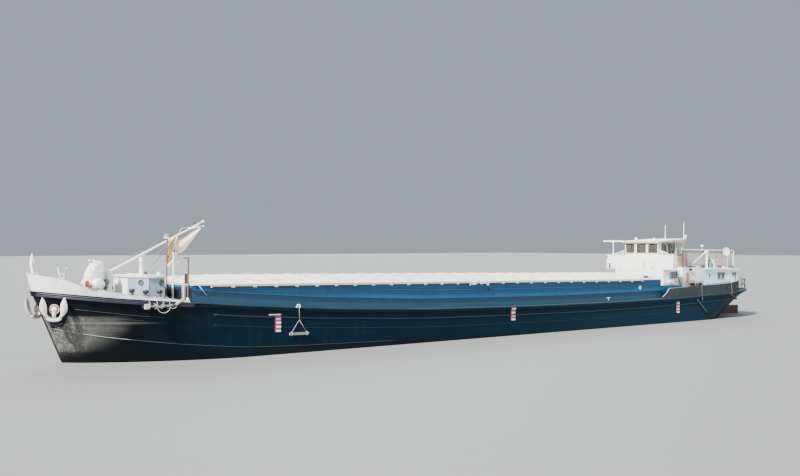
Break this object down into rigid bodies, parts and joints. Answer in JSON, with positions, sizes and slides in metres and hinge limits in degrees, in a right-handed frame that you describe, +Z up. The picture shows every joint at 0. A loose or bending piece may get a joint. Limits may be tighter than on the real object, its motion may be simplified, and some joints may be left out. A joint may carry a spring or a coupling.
{
  "type": "inland motor cargo vessel, scale model at 1:2",
  "caption": "Long low inland cargo vessel with a covered hold, raked bow with white bulwark, houses fore and aft, wheelhouse, rudder and propeller, as a 1:2 scale model.",
  "frame": {"origin": "amidships on the centre line, on the flat bottom", "axes": "+X towards the bow, +Y to port, +Z up"},
  "size_m": [27.5, 3.39, 4],
  "materials": {
    "hull_paint": "semi-gloss",
    "blue_paint": "satin",
    "cover_paint": "matte",
    "white_paint": "satin",
    "varnish": "gloss varnish",
    "red_paint": "matte",
    "anchor_paint": "matte",
    "steel": "satin",
    "bronze": "satin",
    "boards": "weathered",
    "fender": "weathered"
  },
  "bodies": {
    "root": {"hull": "hull_paint", "engine": "steel", "coaming": "blue_paint", "bow_bulwark": "white_paint", "stern_bulwark_port": "hull_paint", "stern_bulwark_starboard": "hull_paint", "stern_rail": "steel", "fore_hatch": "cover_paint", "aft_hatch": "cover_paint", "vent_port": "steel", "vent_starboard": "steel", "fore_house_walls": "white_paint", "fore_house_roof": "white_paint", "tabernacle": "steel", "lamp_pole": "white_paint", "signal_post": "white_paint", "corner_post": "white_paint", "windlass": "white_paint", "bollard_fore_port": "steel", "bollard_fore_starboard": "steel", "bollard_aft_port": "steel", "bollard_aft_starboard": "steel", "bridge_front": "white_paint", "engine_house": "white_paint", "wheelhouse_walls": "varnish", "wheelhouse_roof": "white_paint", "helm_console": "varnish", "radar_mast": "white_paint", "aft_house_walls": "white_paint", "aft_house_roof": "white_paint", "roof_screen": "boards", "dish": "white_paint", "jackstaff": "white_paint", "horn_frame": "white_paint", "anchor_port": "anchor_paint", "anchor_starboard": "anchor_paint", "fender_mid": "fender", "fender_fore": "fender", "fender_aft": "fender", "fender_quarter": "fender"},
    "boom": {"boom": "white_paint"},
    "fore_door": {"fore_house_door": "white_paint"},
    "wheelhouse_door": {"wheelhouse_door": "varnish"},
    "aft_door": {"aft_house_door": "varnish"},
    "radar": {"radar_scanner": "white_paint"},
    "crane_post": {"crane_post": "white_paint"},
    "crane_arm": {"crane_arm": "white_paint"},
    "propeller": {"propeller": "bronze"},
    "rudder": {"rudder": "red_paint"},
    "cover_1": {"hatch_cover_1": "cover_paint"},
    "cover_2": {"hatch_cover_2": "cover_paint"},
    "cover_3": {"hatch_cover_3": "cover_paint"},
    "cover_4": {"hatch_cover_4": "cover_paint"},
    "cover_5": {"hatch_cover_5": "cover_paint"},
    "cover_6": {"hatch_cover_6": "cover_paint"},
    "cover_7": {"hatch_cover_7": "cover_paint"}
  },
  "joints": [
    {"name": "propeller_spin", "type": "hinge", "parent": "root", "child": "propeller", "pos_m": [-12.375, 0, 0.36], "axis": [1, 0, 0], "continuous": true},
    {"name": "rudder_swing", "type": "hinge", "parent": "root", "child": "rudder", "pos_m": [-13.05, 0, 0.5], "axis": [0, 0, -1], "range_deg": [-57, 13]},
    {"name": "boom_raise", "type": "hinge", "parent": "root", "child": "boom", "pos_m": [11.885, 0, 2.215], "axis": [0, 1, 0], "range_deg": [-8, 50]},
    {"name": "radar_spin", "type": "hinge", "parent": "root", "child": "radar", "pos_m": [-7.95, -1.25, 3.25], "axis": [0, 0, 1], "continuous": true},
    {"name": "fore_door_swing", "type": "hinge", "parent": "root", "child": "fore_door", "pos_m": [10.835, -0.5497, 1.85], "axis": [0, 0, 1], "range_deg": [0, 110]},
    {"name": "wheelhouse_door_slide", "type": "slide", "parent": "root", "child": "wheelhouse_door", "axis": [1, 0, 0], "range_m": [0, 0.32]},
    {"name": "aft_door_swing", "type": "hinge", "parent": "root", "child": "aft_door", "pos_m": [-12.3, -0.1747, 1.85], "axis": [0, 0, 1], "range_deg": [0, 110]},
    {"name": "crane_slew", "type": "hinge", "parent": "root", "child": "crane_post", "pos_m": [-10.4, 1.06, 2.5], "axis": [0, 0, 1], "range_deg": [-4, 130]},
    {"name": "crane_luff", "type": "hinge", "parent": "crane_post", "child": "crane_arm", "pos_m": [-10.4, 1.06, 2.95], "axis": [0, -1, 0], "range_deg": [-6, 70]},
    {"name": "cover_1_lift", "type": "slide", "parent": "root", "child": "cover_1", "axis": [0, 0, 1], "range_m": [0, 0.3]},
    {"name": "cover_2_lift", "type": "slide", "parent": "root", "child": "cover_2", "axis": [0, 0, 1], "range_m": [0, 0.3]},
    {"name": "cover_3_lift", "type": "slide", "parent": "root", "child": "cover_3", "axis": [0, 0, 1], "range_m": [0, 0.3]},
    {"name": "cover_4_lift", "type": "slide", "parent": "root", "child": "cover_4", "axis": [0, 0, 1], "range_m": [0, 0.3]},
    {"name": "cover_5_lift", "type": "slide", "parent": "root", "child": "cover_5", "axis": [0, 0, 1], "range_m": [0, 0.3]},
    {"name": "cover_6_lift", "type": "slide", "parent": "root", "child": "cover_6", "axis": [0, 0, 1], "range_m": [0, 0.3]},
    {"name": "cover_7_lift", "type": "slide", "parent": "root", "child": "cover_7", "axis": [0, 0, 1], "range_m": [0, 0.3]}
  ]
}
